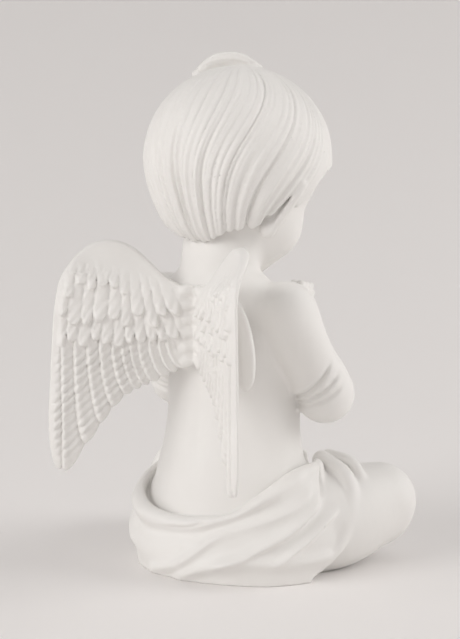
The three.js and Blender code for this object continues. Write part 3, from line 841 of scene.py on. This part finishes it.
def make_figure():
    forms = figure_forms()
    low = np.min([f[1] for f, _ in forms], axis=0) - BORDER
    high = np.max([f[2] for f, _ in forms], axis=0) + BORDER
    low[2] = -BORDER + PITCH / 2
    counts = np.ceil((high - low) / PITCH).astype(int) + 1
    points, faces = net(sample(forms, low, counts), low)
    points = settle(points, forms)
    points[:, 2] = np.maximum(points[:, 2], 0)
    mesh = bpy.data.meshes.new("seated_cherub_skin")
    mesh.vertices.add(len(points))
    mesh.vertices.foreach_set("co", (points * (-MM, -MM, MM)).ravel())
    mesh.loops.add(faces.size)
    mesh.loops.foreach_set("vertex_index", faces.ravel())
    mesh.polygons.add(len(faces))
    mesh.polygons.foreach_set("loop_start", np.arange(0, faces.size, 4))
    mesh.update(calc_edges=True)
    figure = bpy.data.objects.new("cherub_figure", mesh)
    bpy.context.collection.objects.link(figure)
    thin = figure.modifiers.new("fewer_faces", "DECIMATE")
    thin.ratio = TRIANGLES / (2 * len(faces))
    slim = bpy.data.meshes.new_from_object(figure.evaluated_get(bpy.context.evaluated_depsgraph_get()))
    figure.modifiers.clear()
    figure.data = slim
    bpy.data.meshes.remove(mesh)
    slim.polygons.foreach_set("use_smooth", np.ones(len(slim.polygons), bool))
    return figure


# Material, stage and camera

BISQUE = {
    "dark": (0.80, 0.785, 0.762, 1), "light": (0.86, 0.85, 0.832, 1), "cloud": 45, "cloud_detail": 4,
    "grain": 2600, "grain_detail": 3, "smooth": 0.5, "rough": 0.62, "bump": 0.05, "bump_height": 0.0002,
}
FLOOR = {"colour": (0.88, 0.86, 0.85, 1), "roughness": 0.6}
WORLD = {"colour": (1, 0.965, 0.945, 1), "strength": 0.5}
STAGE = {"flat": 0.3, "wall": 2.6, "height": 1.0, "steps": 16, "sides": 96}
LAMP = {"distance": 2000, "size": 1.3, "aim": 75, "colour": (1, 0.99, 0.975)}
LAMPS = [("left_lamp", -56, 22, 20), ("right_lamp", 90, 24, 19)]
# The camera stands behind the figure on its right, a little above it
VIEW = {"turn": 35, "rise": 8, "distance": 560, "aim": 75, "focal_px": 1750, "middle_px": (232, 334.2)}
PHOTO = (460, 639)
SENSOR_MM = 36


def bisque():
    material = bpy.data.materials.new("bisque")
    material.use_nodes = True
    nodes, links = material.node_tree.nodes, material.node_tree.links
    shader = nodes["Principled BSDF"]
    place = nodes.new("ShaderNodeTexCoord")
    cloudy = nodes.new("ShaderNodeTexNoise")
    cloudy.inputs["Scale"].default_value = BISQUE["cloud"]
    cloudy.inputs["Detail"].default_value = BISQUE["cloud_detail"]
    tone = nodes.new("ShaderNodeValToRGB")
    tone.color_ramp.elements[0].color = BISQUE["dark"]
    tone.color_ramp.elements[1].color = BISQUE["light"]
    grain = nodes.new("ShaderNodeTexNoise")
    grain.inputs["Scale"].default_value = BISQUE["grain"]
    grain.inputs["Detail"].default_value = BISQUE["grain_detail"]
    rough = nodes.new("ShaderNodeMapRange")
    rough.inputs["To Min"].default_value = BISQUE["smooth"]
    rough.inputs["To Max"].default_value = BISQUE["rough"]
    bump = nodes.new("ShaderNodeBump")
    bump.inputs["Strength"].default_value = BISQUE["bump"]
    bump.inputs["Distance"].default_value = BISQUE["bump_height"]
    links.new(place.outputs["Object"], cloudy.inputs["Vector"])
    links.new(place.outputs["Object"], grain.inputs["Vector"])
    links.new(cloudy.outputs["Fac"], tone.inputs["Fac"])
    links.new(tone.outputs["Color"], shader.inputs["Base Color"])
    links.new(grain.outputs["Fac"], rough.inputs["Value"])
    links.new(rough.outputs["Result"], shader.inputs["Roughness"])
    links.new(grain.outputs["Fac"], bump.inputs["Height"])
    links.new(bump.outputs["Normal"], shader.inputs["Normal"])
    return material


def make_stage():
    """A round pale floor that sweeps up into a low wall far behind."""
    ring = np.radians(np.arange(STAGE["sides"]) * 360 / STAGE["sides"])
    sweep = np.linspace(0, 1, STAGE["steps"])
    reach = STAGE["flat"] + (STAGE["wall"] - STAGE["flat"]) * sweep
    rise = STAGE["height"] * sweep ** 2
    points = [(0, 0, 0)] + [(r * np.cos(a), r * np.sin(a), z) for r, z in zip(reach, rise) for a in ring]
    sides = STAGE["sides"]
    faces = [(0, 1 + i, 1 + (i + 1) % sides) for i in range(sides)]
    for row in range(STAGE["steps"] - 1):
        low, high = 1 + row * sides, 1 + (row + 1) * sides
        faces += [(low + i, high + i, high + (i + 1) % sides, low + (i + 1) % sides) for i in range(sides)]
    mesh = bpy.data.meshes.new("floor")
    mesh.from_pydata(points, [], faces)
    mesh.polygons.foreach_set("use_smooth", np.ones(len(faces), bool))
    floor = bpy.data.objects.new("floor", mesh)
    bpy.context.collection.objects.link(floor)
    material = bpy.data.materials.new("pale_floor")
    material.use_nodes = True
    shader = material.node_tree.nodes["Principled BSDF"]
    shader.inputs["Base Color"].default_value = FLOOR["colour"]
    shader.inputs["Roughness"].default_value = FLOOR["roughness"]
    mesh.materials.append(material)
    world = bpy.data.worlds.new("studio")
    world.use_nodes = True
    background = world.node_tree.nodes["Background"]
    background.inputs["Color"].default_value = WORLD["colour"]
    background.inputs["Strength"].default_value = WORLD["strength"]
    bpy.context.scene.world = world
    bpy.context.scene.view_settings.view_transform = "Standard"


def model(right, front, up):
    """A place in the figure's millimetres as a point of the model."""
    return Vector((-right * MM, -front * MM, up * MM))


def soft_light(name, turn, rise, power):
    """A wide lamp, its turn counted from the camera towards the right of the picture."""
    around, rise = np.radians(VIEW["turn"] - 90 + turn), np.radians(rise)
    far = LAMP["distance"] * np.cos(rise)
    light = bpy.data.lights.new(name, "AREA")
    light.size = LAMP["size"]
    light.energy = power
    light.color = LAMP["colour"]
    lamp = bpy.data.objects.new(name, light)
    bpy.context.collection.objects.link(lamp)
    height = LAMP["aim"] + LAMP["distance"] * np.sin(rise)
    lamp.location = model(far * np.cos(around), far * np.sin(around), height)
    lamp.rotation_euler = (model(0, 0, LAMP["aim"]) - lamp.location).to_track_quat("-Z", "Y").to_euler()


def make_camera():
    turn, rise = np.radians(VIEW["turn"]), np.radians(VIEW["rise"])
    right = Vector((np.cos(turn), np.sin(turn), 0))
    look = Vector((-np.sin(turn) * np.cos(rise), np.cos(turn) * np.cos(rise), -np.sin(rise)))
    up = right.cross(look)
    eye = Vector((0, 0, VIEW["aim"])) - look * VIEW["distance"]
    off_x, off_y = (PHOTO[i] / 2 - VIEW["middle_px"][i] for i in range(2))
    way = look + (right * off_x - up * off_y) / VIEW["focal_px"]
    lens = bpy.data.cameras.new("camera")
    lens.sensor_width = SENSOR_MM
    lens.lens = VIEW["focal_px"] * lens.sensor_width / PHOTO[1]
    camera = bpy.data.objects.new("camera", lens)
    bpy.context.collection.objects.link(camera)
    camera.location = model(*eye)
    camera.rotation_euler = model(*way).to_track_quat("-Z", "Y").to_euler()
    bpy.context.scene.camera = camera


figure = make_figure()
figure.data.materials.clear()
figure.data.materials.append(bisque())
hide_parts("seated_cherub")
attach(figure, "root")
make_stage()
for lamp in LAMPS:
    soft_light(*lamp)
make_camera()
